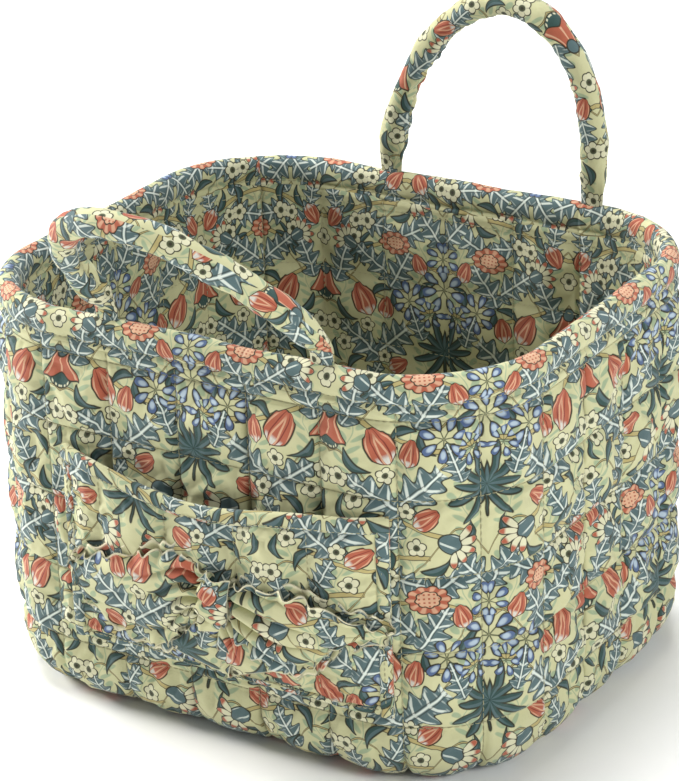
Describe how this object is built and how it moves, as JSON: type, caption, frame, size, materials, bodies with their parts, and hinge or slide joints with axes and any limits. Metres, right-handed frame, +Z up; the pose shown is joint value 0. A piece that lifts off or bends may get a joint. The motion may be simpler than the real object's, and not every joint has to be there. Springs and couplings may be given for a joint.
{
  "type": "fabric storage bin",
  "caption": "Free-standing quilted fabric bin, rounded-rectangular and open-topped, with a patch pocket, a sewn bow and two stuffed loop handles that fold.",
  "frame": {"origin": "middle of the underside of the base, on the surface that the bin stands on", "axes": "+X along the pocket face, -Y out of the pocket face, +Z up"},
  "size_m": [0.3912, 0.4026, 0.4145],
  "materials": {
    "print_cotton": "matte printed cotton, small weave",
    "print_lining": "matte printed cotton, small weave",
    "bow_cotton": "matte printed cotton with raw frayed edges",
    "padding": "loose white fibre",
    "stiffener": "plain board",
    "thread": "matte sewing thread"
  },
  "bodies": {
    "root": {"wall_outer_fabric": "print_cotton", "wall_batting": "padding", "wall_lining": "print_lining", "wall_join_thread": "thread", "wall_quilt_thread_outer": "thread", "wall_quilt_thread_inner": "thread", "rim_hem": "print_cotton", "rim_topstitch_thread": "thread", "base_outer_fabric": "print_cotton", "base_batting": "padding", "base_stiffener": "stiffener", "base_lining": "print_lining", "base_quilt_thread": "thread", "base_seam_thread": "thread", "pocket_outer_fabric": "print_cotton", "pocket_batting": "padding", "pocket_lining": "print_lining", "pocket_mouth_hem": "print_cotton", "pocket_left_edge": "print_cotton", "pocket_right_edge": "print_cotton", "pocket_bottom_edge": "print_cotton", "pocket_quilt_thread": "thread", "pocket_hem_thread": "thread", "pocket_attach_thread": "thread", "bow_left_loop": "bow_cotton", "bow_right_loop": "bow_cotton", "bow_left_tail": "bow_cotton", "bow_right_tail": "bow_cotton", "bow_knot": "bow_cotton", "front_handle_tabs": "print_cotton", "back_handle_tabs": "print_cotton"},
    "front_handle": {"front_handle_cover": "print_cotton", "front_handle_core": "padding", "front_handle_seam_thread": "thread"},
    "back_handle": {"back_handle_cover": "print_cotton", "back_handle_core": "padding", "back_handle_seam_thread": "thread"}
  },
  "joints": [
    {"name": "front_handle_fold", "type": "hinge", "parent": "root", "child": "front_handle", "pos_m": [0.01, -0.158, 0.2855], "axis": [1, 0, 0], "range_deg": [-150, 70]},
    {"name": "back_handle_fold", "type": "hinge", "parent": "root", "child": "back_handle", "pos_m": [0.022, 0.158, 0.2855], "axis": [1, 0, 0], "range_deg": [-110, 110]}
  ]
}
